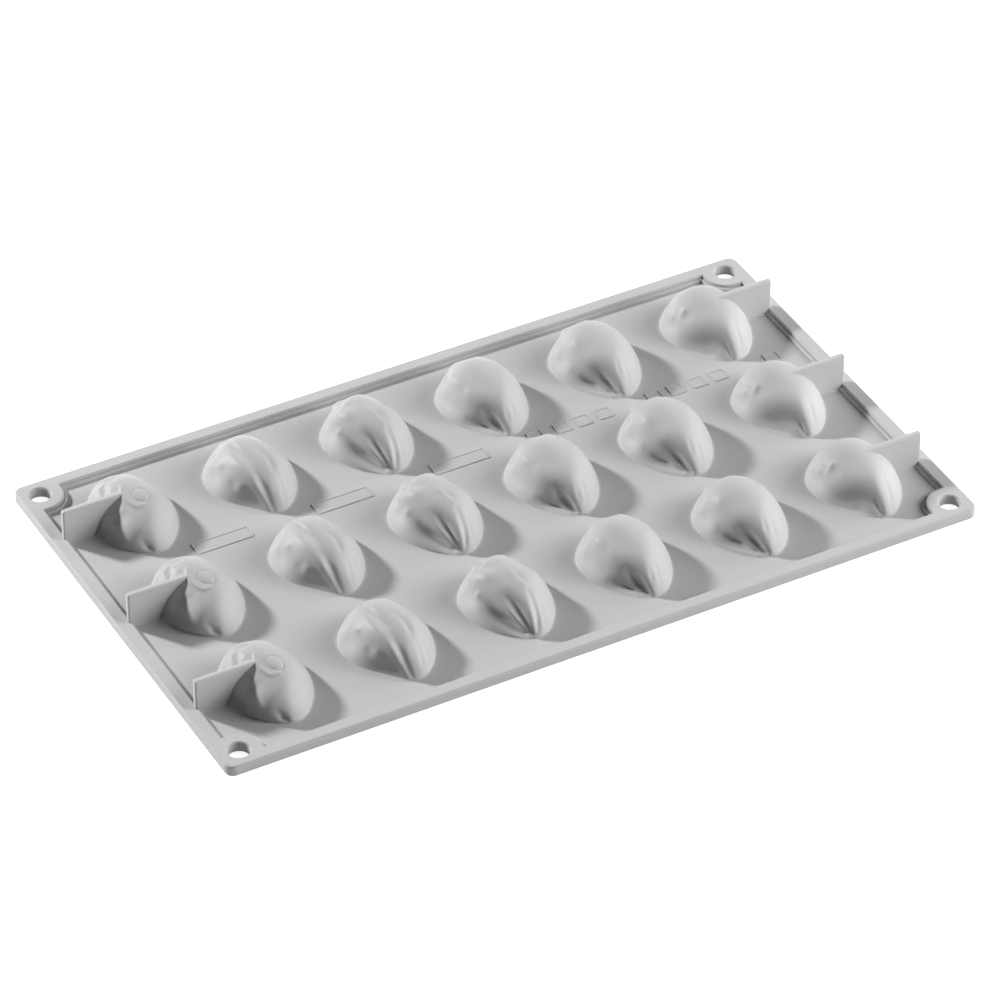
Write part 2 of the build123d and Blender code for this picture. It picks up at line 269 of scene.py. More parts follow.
@dataclass(frozen=True)
class Fold:
    """A valley along a path on a cup, or a ridge when the depth is below zero.

    Each place on the path is an angle round the crown in degrees and a reach, 0 at the crown and 1 at the
    foot. Widths and depth are in millimetres, and an end width of 0 keeps the width all along. Strength is
    the share of the depth at the start, the middle and the end.
    """

    path: tuple[tuple[float, float], ...]
    width: float
    depth: float
    end_width: float = 0.0
    strength: tuple[float, float, float] = (0.3, 0.8, 1.0)


@dataclass(frozen=True)
class Lump:
    """A swelling on a cup, or a hollow when the height is below zero.

    Radius is its reach towards the foot and girth its reach round the cup, both in millimetres. They are
    alike where girth is left out.
    """

    place: tuple[float, float]
    radius: float
    height: float
    girth: float = 0.0


@dataclass(frozen=True)
class Ring:
    """A raised ring round a place on a cup, or a groove when the height is below zero."""

    place: tuple[float, float]
    radius: float
    width: float
    height: float


@dataclass(frozen=True)
class Crumple:
    """A crumpled patch: small bumps of a set size within a radius."""

    place: tuple[float, float]
    radius: float
    size: float
    height: float


@dataclass(frozen=True)
class NutPattern:
    """One nut pattern: height of the crown, reach where its skirt begins and the features of the skin."""

    top: float
    skirt: float
    folds: tuple[Fold, ...] = ()
    lumps: tuple[Lump, ...] = ()
    rings: tuple[Ring, ...] = ()
    crumples: tuple[Crumple, ...] = ()


PATTERNS = (
    NutPattern(
        top=16.95,
        skirt=0.9,
        folds=(
            Fold(
                path=((-94, 0.5), (-98, 0.7), (-98, 0.88)),
                width=3.0,
                depth=-0.4,
                end_width=2.0,
                strength=(0.1, 0.9, 0.8),
            ),
            Fold(
                path=((-113, 0.76), (-108, 0.84), (-104, 0.9)),
                width=1.2,
                depth=1.2,
                end_width=0.9,
                strength=(0.3, 1.0, 0.5),
            ),
            Fold(
                path=((-165, 0.12), (-140, 0.25), (-113, 0.33), (-85, 0.33)),
                width=0.8,
                depth=-0.45,
                strength=(0.8, 1.0, 0.4),
            ),
            Fold(
                path=((160, 0.6), (130, 0.4), (120, 0.25)),
                width=1.6,
                depth=0.6,
            ),
            Fold(
                path=((-175, 0.5), (165, 0.3)),
                width=1.2,
                depth=0.5,
            ),
        ),
        lumps=(
            Lump((-124, 0.62), radius=6.0, height=1.8, girth=5.5),
            Lump((-162, 0.78), radius=4.0, height=-1.4, girth=5.5),
            Lump((-70, 0.22), radius=2.7, height=0.15),
            Lump((-143, 0.43), radius=1.7, height=0.3),
            Lump((-149, 0.54), radius=1.8, height=-0.4),
            Lump((135, 0.5), radius=4.5, height=1.0),
            Lump((150, 0.45), radius=2.0, height=0.5),
            Lump((110, 0.42), radius=2.8, height=0.4),
            Lump((175, 0.7), radius=2.6, height=-0.6),
            Lump((20, 0.5), radius=7.5, height=-1.5),
        ),
        rings=(Ring((-70, 0.22), radius=3.1, width=0.4, height=-0.22),),
        crumples=(Crumple((160, 0.42), radius=6.5, size=2.6, height=0.3),),
    ),
    NutPattern(
        top=16.95,
        skirt=0.94,
        folds=(
            Fold(
                path=((-120, 0.28), (-113, 0.42), (-108, 0.58), (-104, 0.75), (-100, 0.9)),
                width=1.8,
                depth=0.7,
                end_width=0.9,
                strength=(0.1, 1.0, 0.5),
            ),
            Fold(
                path=((-170, 0.3), (-142, 0.35), (-121, 0.52), (-110, 0.76), (-105, 0.9)),
                width=2.4,
                depth=-1.1,
                end_width=1.4,
                strength=(0.5, 1.0, 0.4),
            ),
            Fold(
                path=((-94, 0.4), (-97, 0.6), (-95, 0.88)),
                width=1.6,
                depth=-0.15,
                end_width=1.0,
                strength=(0.1, 1.0, 0.6),
            ),
            Fold(
                path=((-42, 0.15), (-52, 0.32), (-70, 0.5)),
                width=1.5,
                depth=0.5,
                strength=(0.4, 1.0, 0.1),
            ),
            Fold(
                path=((118, 0.35), (150, 0.2), (-160, 0.18), (-128, 0.26)),
                width=1.5,
                depth=0.7,
                strength=(0.6, 1.0, 0.3),
            ),
            Fold(
                path=((-62, 0.5), (-78, 0.88)),
                width=0.9,
                depth=0.22,
                strength=(0.2, 1.0, 0.2),
            ),
            Fold(
                path=((-46, 0.5), (-62, 0.88)),
                width=0.9,
                depth=0.22,
                strength=(0.2, 1.0, 0.2),
            ),
        ),
        lumps=(
            Lump((-150, 0.4), radius=4.2, height=1.1, girth=6.0),
            Lump((-136, 0.55), radius=4.6, height=1.0, girth=6.5),
            Lump((-131, 0.82), radius=5.0, height=-1.9, girth=8.5),
            Lump((-151, 0.62), radius=1.8, height=-0.35),
            Lump((-141, 0.6), radius=1.4, height=0.25),
            Lump((-177, 0.47), radius=1.8, height=0.5),
            Lump((175, 0.7), radius=3.4, height=-1.2, girth=5.0),
            Lump((142, 0.62), radius=2.8, height=-1.3),
            Lump((20, 0.5), radius=7.5, height=-1.2),
        ),
    ),
    NutPattern(
        top=17.9,
        skirt=0.88,
        folds=(
            Fold(
                path=((-143, 0.34), (-125, 0.45), (-114, 0.58), (-107, 0.74), (-102, 0.89)),
                width=2.2,
                depth=1.9,
                end_width=1.3,
                strength=(0.1, 1.0, 0.4),
            ),
            Fold(
                path=((-146, 0.4), (-131, 0.54), (-115, 0.7), (-106, 0.88)),
                width=1.2,
                depth=-0.8,
                end_width=0.9,
                strength=(0.1, 1.0, 0.4),
            ),
            Fold(
                path=((-172, 0.5), (-145, 0.65), (-124, 0.77), (-111, 0.88)),
                width=3.0,
                depth=3.2,
                end_width=1.7,
                strength=(0.1, 1.0, 0.6),
            ),
            Fold(
                path=((-72, 0.38), (-79, 0.6), (-88, 0.78), (-93, 0.9)),
                width=1.4,
                depth=0.6,
                end_width=0.9,
                strength=(0.4, 1.0, 0.5),
            ),
            Fold(
                path=((-95, 0.4), (-94, 0.6), (-95, 0.86)),
                width=1.7,
                depth=-0.25,
                end_width=1.0,
                strength=(0.2, 1.0, 0.7),
            ),
            Fold(
                path=((-85, 0.14), (-70, 0.3), (-76, 0.42)),
                width=1.3,
                depth=-0.25,
                strength=(0.9, 0.7, 0.2),
            ),
            Fold(
                path=((-56, 0.5), (-74, 0.85)),
                width=1.0,
                depth=0.22,
                strength=(0.3, 1.0, 0.4),
            ),
        ),
        lumps=(
            Lump((-150, 0.38), radius=4.5, height=0.9, girth=7.0),
            Lump((160, 0.2), radius=3.2, height=-0.6, girth=2.2),
            Lump((-170, 0.28), radius=2.4, height=0.4),
            Lump((-60, 0.24), radius=2.2, height=-0.4, girth=1.6),
            Lump((150, 0.5), radius=2.4, height=0.5),
            Lump((-172, 0.55), radius=1.3, height=0.45),
            Lump((172, 0.36), radius=4.2, height=1.1),
            Lump((170, 0.68), radius=3.6, height=-1.5, girth=5.0),
            Lump((142, 0.64), radius=2.8, height=-1.2),
            Lump((115, 0.5), radius=2.6, height=0.9),
            Lump((75, 0.3), radius=4.0, height=0.6),
            Lump((60, 0.42), radius=1.8, height=0.5),
            Lump((28, 0.3), radius=1.6, height=0.4),
            Lump((-8, 0.5), radius=2.2, height=0.5),
            Lump((25, 0.5), radius=7.5, height=-1.6),
        ),
        crumples=(Crumple((130, 0.45), radius=6.0, size=3.0, height=0.3),),
    ),
    NutPattern(
        top=17.85,
        skirt=0.9,
        folds=(
            Fold(
                path=((-136, 0.5), (-125, 0.62), (-117, 0.73), (-109, 0.83), (-105, 0.9)),
                width=2.2,
                depth=2.2,
                end_width=1.4,
                strength=(0.1, 1.0, 0.7),
            ),
            Fold(
                path=((-148, 0.8), (-136, 0.84), (-125, 0.88), (-115, 0.92)),
                width=1.5,
                depth=1.4,
                end_width=1.0,
                strength=(0.2, 1.0, 0.5),
            ),
            Fold(
                path=((-92, 0.4), (-97, 0.6), (-96, 0.88)),
                width=2.4,
                depth=-0.4,
                end_width=1.6,
                strength=(0.1, 0.9, 0.8),
            ),
            Fold(
                path=((165, 0.42), (-177, 0.4), (-154, 0.4)),
                width=2.2,
                depth=-0.9,
                strength=(0.5, 1.0, 0.3),
            ),
            Fold(
                path=((-90, 0.56), (-93, 0.75)),
                width=0.9,
                depth=0.25,
                strength=(0.3, 1.0, 0.3),
            ),
            Fold(
                path=((-66, 0.48), (-80, 0.84)),
                width=0.9,
                depth=0.2,
                strength=(0.2, 1.0, 0.3),
            ),
        ),
        lumps=(
            Lump((-136, 0.46), radius=4.4, height=1.3, girth=7.0),
            Lump((-132, 0.8), radius=4.0, height=-1.7, girth=6.5),
            Lump((175, 0.7), radius=3.6, height=-1.4, girth=6.0),
            Lump((-163, 0.7), radius=3.6, height=-0.7, girth=5.0),
            Lump((142, 0.62), radius=2.8, height=-1.5),
            Lump((110, 0.5), radius=3.0, height=0.8),
            Lump((62, 0.4), radius=2.2, height=0.5),
        ),
    ),
    NutPattern(
        top=17.85,
        skirt=0.88,
        folds=(
            Fold(
                path=((-145, 0.48), (-129, 0.59), (-118, 0.7), (-108, 0.82), (-103, 0.9)),
                width=2.1,
                depth=2.3,
                end_width=1.4,
                strength=(0.1, 1.0, 0.7),
            ),
            Fold(
                path=((-157, 0.7), (-142, 0.77), (-129, 0.83), (-117, 0.9)),
                width=2.0,
                depth=2.0,
                end_width=1.2,
                strength=(0.2, 1.0, 0.6),
            ),
            Fold(
                path=((-92, 0.4), (-95, 0.6), (-94, 0.88)),
                width=2.4,
                depth=-0.4,
                end_width=1.6,
                strength=(0.1, 0.9, 0.8),
            ),
            Fold(
                path=((-86, 0.46), (-92, 0.66)),
                width=0.9,
                depth=0.25,
                strength=(0.5, 1.0, 0.3),
            ),
            Fold(
                path=((-64, 0.46), (-78, 0.84)),
                width=0.9,
                depth=0.2,
                strength=(0.2, 1.0, 0.3),
            ),
        ),
        lumps=(
            Lump((-172, 0.34), radius=3.8, height=0.9),
            Lump((-132, 0.44), radius=4.6, height=1.2, girth=7.0),
            Lump((-140, 0.78), radius=4.2, height=-1.4, girth=7.5),
            Lump((175, 0.68), radius=3.6, height=-1.4, girth=5.0),
            Lump((142, 0.62), radius=2.8, height=-1.4),
            Lump((80, 0.3), radius=2.6, height=0.3),
            Lump((120, 0.5), radius=2.4, height=0.9),
            Lump((66, 0.5), radius=2.2, height=0.5),
        ),
    ),
    NutPattern(
        top=17.5,
        skirt=0.92,
        folds=(
            Fold(
                path=((-111, 0.62), (-107, 0.71), (-102, 0.83), (-99, 0.9)),
                width=1.3,
                depth=0.8,
                end_width=0.9,
                strength=(0.2, 1.0, 0.5),
            ),
            Fold(
                path=((-90, 0.35), (-94, 0.58), (-93, 0.88)),
                width=2.4,
                depth=-0.4,
                end_width=1.6,
                strength=(0.1, 0.9, 0.8),
            ),
            Fold(
                path=((168, 0.45), (-173, 0.38), (-150, 0.44)),
                width=1.7,
                depth=-0.6,
                strength=(0.6, 1.0, 0.3),
            ),
            Fold(
                path=((165, 0.23), (-178, 0.2), (-163, 0.23)),
                width=0.9,
                depth=-0.25,
                strength=(0.3, 1.0, 0.3),
            ),
            Fold(
                path=((-62, 0.45), (-78, 0.86)),
                width=0.9,
                depth=0.22,
                strength=(0.2, 1.0, 0.3),
            ),
        ),
        lumps=(
            Lump((-132, 0.45), radius=4.6, height=1.3, girth=8.0),
            Lump((-136, 0.76), radius=4.2, height=-2.2, girth=8.0),
            Lump((-130, 0.88), radius=1.6, height=-0.5, girth=3.0),
            Lump((172, 0.58), radius=1.5, height=0.4),
            Lump((-172, 0.42), radius=2.4, height=0.7, girth=1.4),
            Lump((172, 0.72), radius=3.0, height=-1.2, girth=5.0),
            Lump((142, 0.62), radius=2.6, height=-0.9),
        ),
    ),
)


def on_dial(place: tuple[float, float]) -> np.ndarray:
    """Plain dial coordinates of an angle in degrees and a reach.

    Args:
        place: the angle and the reach.

    Returns:
        The two coordinates.
    """
    angle = math.radians(place[0])
    return np.array([place[1] * math.cos(angle), place[1] * math.sin(angle)])


def smooth_path(path: tuple[tuple[float, float], ...], steps: int = 8) -> np.ndarray:
    """Points of a smooth curve through places on the dial.

    Args:
        path: the places.
        steps: points for each stretch between two places.

    Returns:
        An array of dial coordinates.
    """
    knots = [on_dial(place) for place in path]
    if len(knots) == 2:
        shares = np.linspace(0.0, 1.0, steps)[:, None]
        return knots[0] * (1 - shares) + knots[1] * shares
    knots = [2 * knots[0] - knots[1], *knots, 2 * knots[-1] - knots[-2]]
    points = []
    for p0, p1, p2, p3 in zip(knots, knots[1:], knots[2:], knots[3:]):
        for share in np.linspace(0.0, 1.0, steps, endpoint=False):
            tangent = (p2 - p0) + (2 * p0 - 5 * p1 + 4 * p2 - p3) * share
            bend = (3 * p1 - p0 - 3 * p2 + p3) * share**2
            points.append(p1 + 0.5 * share * (tangent + bend))
    points.append(knots[-2])
    return np.array(points)


def ease(share: np.ndarray) -> np.ndarray:
    """Smooth step from 0 to 1 over shares from 0 to 1."""
    held = np.clip(share, 0.0, 1.0)
    return held * held * (3 - 2 * held)


@dataclass
class NutCup:
    """Thin-walled cups of one column, three of them, all of one nut pattern.

    Sizes are in millimetres. Slope is the power that shapes the dome's fall. Each ring of the foot's
    profile is a share of the foot's width and two shares of its rounding, inwards and down. Turns are
    points round the cup, and rings and cavity rings are counts from crown to foot. A place on the skin is
    a point on a dial, two plain coordinates with the crown in the middle and the foot at radius 1.
    """

    column: int
    pattern: NutPattern
    half_width: float = 16.5
    tip_reach: float = 20.9
    blunt_reach: float = 20.0
    widest_at: float = 2.7
    crown_at: float = 4.0
    shift: float = 0.4
    tip_sidestep: float = 1.0
    tip_taper: float = 0.25
    wall: float = 1.8
    slope: float = 1.4
    foot_width: float = 0.62
    foot_top: float = 1.89
    foot_rounding: float = 0.05
    foot_profile: tuple[tuple[float, float, float], ...] = (
        (0.25, 0.0, 0.6),
        (0.6, 0.0, 1.0),
        (1.0, 0.3, 1.2),
        (1.0, 0.0, 1.5),
    )
    turns: int = 192
    rings: int = 84
    cavity_rings: int = 48
    dial_scale: float = field(init=False)

    def __post_init__(self) -> None:
        """Works out how many millimetres of skin one unit of the dial spans."""
        self.dial_scale = (self.half_width + self.pattern.top - self.foot_top) * math.pi / 4

    def outline(self, angle: np.ndarray, grow: float) -> tuple[np.ndarray, np.ndarray]:
        """Plan outline of the cup.

        Args:
            angle: angles round the crown.
            grow: millimetres outwards.

        Returns:
            The x and y of each point.
        """
        side, along = np.cos(angle), np.sin(angle)
        tipward = (1 - along) / 2
        x = self.shift + (self.half_width + grow) * side * (1 - self.tip_taper * tipward**4)
        x = x + self.tip_sidestep * tipward**2
        reach = np.where(along < 0, self.tip_reach + self.widest_at, self.blunt_reach - self.widest_at)
        return x, self.widest_at + along * (reach + grow)

    def plain_skin(self, u: np.ndarray, v: np.ndarray, inset: float) -> np.ndarray:
        """Points of the cup without its pattern.

        Args:
            u: first dial coordinate.
            v: second dial coordinate.
            inset: millimetres inwards from the outside.

        Returns:
            An array of points, the last axis being x, y, z.
        """
        x, y = self.outline(np.arctan2(v, u), -inset)
        swing = np.hypot(u, v) * math.pi / 2
        spread = np.sin(swing)
        rise = (self.pattern.top - inset - self.foot_top) * np.clip(np.cos(swing), 0.0, 1.0) ** self.slope
        px = self.shift + spread * (x - self.shift)
        py = self.crown_at + spread * (y - self.crown_at)
        return np.stack([px, py, self.foot_top + rise], axis=-1)

    def relief(self, u: np.ndarray, v: np.ndarray) -> np.ndarray:
        """How far the pattern lifts the skin.

        Args:
            u: first dial coordinate.
            v: second dial coordinate.

        Returns:
            Millimetres outwards.
        """
        lift = np.zeros_like(u)
        points = self.plain_skin(u, v, 0.0)
        for fold in self.pattern.folds:
            lift += self.fold_lift(fold, points)
        for lump in self.pattern.lumps:
            lift += self.lump_lift(lump, points)
        for ring in self.pattern.rings:
            off = self.off_place(ring.place, points) - ring.radius
            lift += ring.height * np.exp(-((off / ring.width) ** 2))
        for patch in self.pattern.crumples:
            lift += self.crumple_lift(patch, u, v, points)
        fade = (1 - np.hypot(u, v)) / (1 - self.pattern.skirt)
        return lift * np.clip(fade, 0.0, 1.0)

    def off_place(self, place: tuple[float, float], points: np.ndarray) -> np.ndarray:
        """Distance from a place on the skin, in millimetres.

        Args:
            place: angle and reach.
            points: points of the plain skin.

        Returns:
            The distances.
        """
        centre = self.plain_skin(*on_dial(place), 0.0)
        return np.linalg.norm(points - centre, axis=-1)

    def fold_lift(self, fold: Fold, points: np.ndarray) -> np.ndarray:
        """Lift of one fold.

        Args:
            fold: the fold.
            points: points of the plain skin.

        Returns:
            Millimetres outwards.
        """
        line = smooth_path(fold.path)
        track = self.plain_skin(line[:, 0], line[:, 1], 0.0)
        best = np.full(points.shape[:-1], np.inf)
        share = np.zeros_like(best)
        last = len(line) - 1
        for i in range(last):
            run = track[i + 1] - track[i]
            away = points - track[i]
            near = np.clip(away @ run / (run @ run), 0.0, 1.0)
            off = np.linalg.norm(away - near[..., None] * run, axis=-1)
            closer = off < best
            best = np.where(closer, off, best)
            share = np.where(closer, (i + near) / last, share)
        width = fold.width + ((fold.end_width or fold.width) - fold.width) * share
        start, middle, end = fold.strength
        strength = start + (middle - start) * ease(share * 2) + (end - middle) * ease(share * 2 - 1)
        return -fold.depth * np.exp(-((best / width) ** 2)) * strength

    def lump_lift(self, lump: Lump, points: np.ndarray) -> np.ndarray:
        """Lift of one lump.

        Args:
            lump: the lump.
            points: points of the plain skin.

        Returns:
            Millimetres outwards.
        """
        centre = self.plain_skin(*on_dial(lump.place), 0.0)
        angle = math.radians(lump.place[0])
        away = points - centre
        round_cup = away[..., 1] * math.cos(angle) - away[..., 0] * math.sin(angle)
        outward = (away**2).sum(axis=-1) - round_cup**2
        reach = outward / lump.radius**2 + (round_cup / (lump.girth or lump.radius)) ** 2
        return lump.height * np.exp(-reach)

    def crumple_lift(
        self, patch: Crumple, u: np.ndarray, v: np.ndarray, points: np.ndarray
    ) -> np.ndarray:
        """Lift of one crumpled patch: two crossed waves, each bent by the other's direction.

        Args:
            patch: the patch.
            u: first dial coordinate.
            v: second dial coordinate.
            points: points of the plain skin there.

        Returns:
            Millimetres outwards.
        """
        within = np.exp(-((self.off_place(patch.place, points) / patch.radius) ** 4))
        a = u * self.dial_scale / patch.size
        b = v * self.dial_scale / patch.size
        waves = np.sin(2.1 * a + 1.3 * np.sin(1.7 * b)) * np.cos(1.9 * b + 1.1 * np.sin(1.3 * a + 0.7))
        return patch.height * within * waves

    def skin(self, reach: np.ndarray, inset: float) -> np.ndarray:
        """Rings of the finished skin.

        Args:
            reach: reach of each ring.
            inset: millimetres inwards from the outside.

        Returns:
            An array of rings of points.
        """
        angle = np.arange(self.turns) * 2 * math.pi / self.turns
        u = reach[:, None] * np.cos(angle)[None, :]
        v = reach[:, None] * np.sin(angle)[None, :]
        step = 1e-3
        across = self.plain_skin(u + step, v, inset) - self.plain_skin(u - step, v, inset)
        down = self.plain_skin(u, v + step, inset) - self.plain_skin(u, v - step, inset)
        normal = np.cross(across, down)
        normal /= np.linalg.norm(normal, axis=-1, keepdims=True)
        return self.plain_skin(u, v, inset) + normal * self.relief(u, v)[..., None]

    def level_ring(self, grow: float, z: float) -> np.ndarray:
        """One level ring on the plan outline.

        Args:
            grow: millimetres outwards.
            z: height of the ring.

        Returns:
            The ring's points.
        """
        angle = np.arange(self.turns) * 2 * math.pi / self.turns
        x, y = self.outline(angle, grow)
        return np.stack([x, y, np.full_like(x, z)], axis=-1)[None]

    def mesh(self) -> bpy.types.Mesh:
        """Builds the closed shell: dome, foot, brim and cavity.

        Returns:
            The mesh, in metres, about the cup's own centre lines.
        """
        outside = self.skin(np.linspace(0.0, 1.0, self.rings + 1)[1:], 0.0)
        inside = self.skin(np.linspace(1.0, 0.0, self.cavity_rings + 1)[:-1], self.wall)
        foot = []
        for share, inwards, drop in self.foot_profile:
            grow = share * self.foot_width - inwards * self.foot_rounding
            foot.append(self.level_ring(grow, self.foot_top - drop * self.foot_rounding))
        foot += [self.level_ring(self.foot_width, 0.0), self.level_ring(-self.wall, 0.0)]
        stack = np.concatenate([outside, *foot, inside]) * MM
        first_inside = len(outside) + len(foot) - 1
        made = bmesh.new()
        rings = [[made.verts.new(point) for point in ring] for ring in stack]
        crown = made.verts.new(self.crown_point(0.0) * MM)
        vault = made.verts.new(self.crown_point(self.wall) * MM)
        for number, (upper, lower) in enumerate(zip(rings, rings[1:])):
            for i in range(self.turns):
                j = (i + 1) % self.turns
                face = made.faces.new((upper[i], lower[i], lower[j], upper[j]))
                face.material_index = 1 if number >= first_inside else 0
        for i in range(self.turns):
            j = (i + 1) % self.turns
            made.faces.new((crown, rings[0][i], rings[0][j]))
            made.faces.new((vault, rings[-1][j], rings[-1][i])).material_index = 1
        for face in made.faces:
            face.smooth = True
        mesh = bpy.data.meshes.new(f"nut_cup_{self.column}")
        made.to_mesh(mesh)
        made.free()
        mesh.materials.append(CUP_FINISH.material())
        mesh.materials.append(CAVITY_FINISH.material())
        return mesh

    def crown_point(self, inset: float) -> np.ndarray:
        """Point where the skin's rings close.

        Args:
            inset: millimetres inwards from the outside.

        Returns:
            The point.
        """
        aside = np.array([1e-4])
        middle = np.zeros(1)
        point = self.plain_skin(aside, middle, inset)[0]
        point[2] += float(self.relief(aside, middle)[0])
        return point

    def build(self) -> list[bpy.types.Object]:
        """Builds the column's cups in place of their nodes.

        Returns:
            The three cups.
        """
        mesh = self.mesh()
        low = self.level_ring(self.foot_width, 0.0).min(axis=(0, 1)) * MM
        cups = []
        for row in ROWS:
            node = f"cup_{row}_{self.column}"
            corner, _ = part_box(node)
            cup = bpy.data.objects.new(f"nut_cup_{row}_{self.column}", mesh)
            cup.location = (corner.x - low[0], corner.y - low[1], 0.0)
            bpy.context.scene.collection.objects.link(cup)
            place_piece(cup, node)
            cups.append(cup)
        return cups


def place_piece(piece: bpy.types.Object, *nodes: str) -> None:
    """Hangs a finished piece on the body and hides the nodes that it stands for.

    Args:
        piece: the piece, in place.
        nodes: the nodes that it stands for.
    """
    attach(piece, BODY)
    if nodes:
        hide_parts(*nodes)
    log.info("%s: %d faces", piece.name, len(piece.data.polygons))


@dataclass
class Web:
    """The flat web between the cups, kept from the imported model, with its raised blank plates.

    Sizes and places are in millimetres. Each plate is a thin sheet inside a raised border. The bevel is the
    share of the border's rounding at its middle, and inner steps are loops on the sheet beside the border.
    """

    plate_height: float = 0.08
    border_height: float = 0.3
    border_width: float = 0.55
    border_rounding: float = 0.12
    border_bevel: float = 0.3
    plate_rounding: float = 0.6
    least_rounding: float = 0.05
    corner_steps: int = 6
    sink: float = 0.05
    inner_steps: tuple[float, float] = (0.1, 0.4)
    plates_x: tuple[float, ...] = (-95.2, -47.2, 0.5)
    squares_x: tuple[float, ...] = (32.0, 43.0, 51.5, 60.5, 82.0, 91.0, 100.0, 109.0, 132.0)
    marks_y: float = 27.5

    def build(self) -> None:
        """Dresses the web's cells and lays the plates on them."""
        for row in ROWS:
            for column in COLUMNS:
                dress_node(f"web_cell_{row}_{column}", WEB_FINISH)
        for number, x in enumerate(self.plates_x, start=1):
            self.mark(f"blank_plate_{number}", MarkKind.PLATE, x)
        for number, x in enumerate(self.squares_x, start=1):
            self.mark(f"blank_square_{number}", MarkKind.SQUARE, x)

    def profile(self) -> list[tuple[float, float]]:
        """Section of a plate from its outer foot over the border and on to the sheet.

        Returns:
            How far each loop lies inside the plate's edge, and its height above the web.
        """
        high, low = self.border_height, self.plate_height
        wide, rounding = self.border_width, self.border_rounding
        bevel = self.border_bevel * rounding
        section = [(0.0, -self.sink), (0.0, high - rounding), (bevel, high - bevel), (rounding, high)]
        section += [(wide - rounding, high), (wide - bevel, high - bevel), (wide, high - rounding)]
        section += [(wide, low)]
        section += [(wide + step, low) for step in self.inner_steps]
        return section

    def mark(self, name: str, kind: MarkKind, x: float) -> None:
        """Lays one raised blank plate on the web.

        Args:
            name: name of the piece.
            kind: which plate.
            x: its centre along the mould, in millimetres.
        """
        width, depth = kind.value
        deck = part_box("web_cell_1_1")[1].z / MM
        made = bmesh.new()
        loops = []
        for shrink, height in self.profile():
            rounding = max(self.plate_rounding - shrink, self.least_rounding)
            corners = rounded_rectangle(width - 2 * shrink, depth - 2 * shrink, rounding, self.corner_steps)
            loop = []
            for a, b in corners:
                loop.append(made.verts.new(((x + a) * MM, (self.marks_y + b) * MM, (deck + height) * MM)))
            loops.append(loop)
        for lower, upper in zip(loops, loops[1:]):
            for i in range(len(lower)):
                j = (i + 1) % len(lower)
                made.faces.new((lower[i], lower[j], upper[j], upper[i]))
        made.faces.new(loops[-1])
        made.faces.new(loops[0][::-1])
        mesh = bpy.data.meshes.new(name)
        made.to_mesh(mesh)
        made.free()
        mesh.materials.append(WEB_FINISH.material())
        piece = bpy.data.objects.new(name, mesh)
        bpy.context.scene.collection.objects.link(piece)
        place_piece(piece)


def rounded_rectangle(width: float, depth: float, radius: float, steps: int) -> list[tuple[float, float]]:
    """Points of a rectangle with rounded corners, counter-clockwise.

    Args:
        width: size along X.
        depth: size along Y.
        radius: radius of each corner.
        steps: points on each corner.

    Returns:
        The points, about the rectangle's centre.
    """
    points = []
    for quarter, (sx, sy) in enumerate(((1, 1), (-1, 1), (-1, -1), (1, -1))):
        for i in range(steps):
            angle = math.pi / 2 * (quarter + i / (steps - 1))
            x = sx * (width / 2 - radius) + radius * math.cos(angle)
            y = sy * (depth / 2 - radius) + radius * math.sin(angle)
            points.append((x, y))
    return points


def dress_node(node: str, finish: SiliconeFinish) -> None:
    """Gives a kept node a finish.

    Args:
        node: the node's name.
        finish: its finish.
    """
    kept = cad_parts[node]
    kept.data.materials.clear()
    kept.data.materials.append(finish.material())
    log.info("%s: kept, %s", node, finish.name)


@dataclass
class Rim:
    """The raised rim in four rails and four corner tabs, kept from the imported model."""

    sides: tuple[str, ...] = ("left", "right", "front", "back")
    corners: tuple[str, ...] = ("back_left", "front_left", "back_right", "front_right")

    def build(self) -> None:
        """Dresses the rails and tabs."""
        for side in self.sides:
            dress_node(f"rim_rail_{side}", RIM_FINISH)
        for corner in self.corners:
            dress_node(f"corner_tab_{corner}", RIM_FINISH)


@dataclass
class Fins:
    """The upright fins of one end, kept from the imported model, which run from the rim into the end cups."""

    end: End

    def build(self) -> None:
        """Dresses the end's three fins."""
        for row in ROWS:
            dress_node(f"fin_{self.end.name.lower()}_{row}", FIN_PAINTED_SHADE_FINISH)


@dataclass(frozen=True)
class Lamp:
    """One round area lamp, aimed at the mould. Angles in degrees, lengths in metres, power in watts."""

    name: str
    azimuth: float
    elevation: float
    distance: float
    size: float
    power: float

    def build(self, target: Vector) -> bpy.types.Object:
        """Makes the lamp.

        Args:
            target: the point that it is aimed at.

        Returns:
            The lamp.
        """
        away = direction(self.azimuth, self.elevation)
        data = bpy.data.lights.new(self.name, "AREA")
        data.shape = "DISK"
        data.size = self.size
        data.energy = self.power
        lamp = bpy.data.objects.new(self.name, data)
        lamp.location = target + away * self.distance
        lamp.rotation_mode = "QUATERNION"
        lamp.rotation_quaternion = away.to_track_quat("Z", "Y")
        bpy.context.scene.collection.objects.link(lamp)
        return lamp


def direction(azimuth: float, elevation: float) -> Vector:
    """Unit vector towards a place round the object. Azimuth 0 is the -Y side, in degrees.

    Args:
        azimuth: degrees round the object, towards +X.
        elevation: degrees above the floor.

    Returns:
        The vector.
    """
    a, e = math.radians(azimuth), math.radians(elevation)
    return Vector((math.sin(a) * math.cos(e), -math.cos(a) * math.cos(e), math.sin(e)))


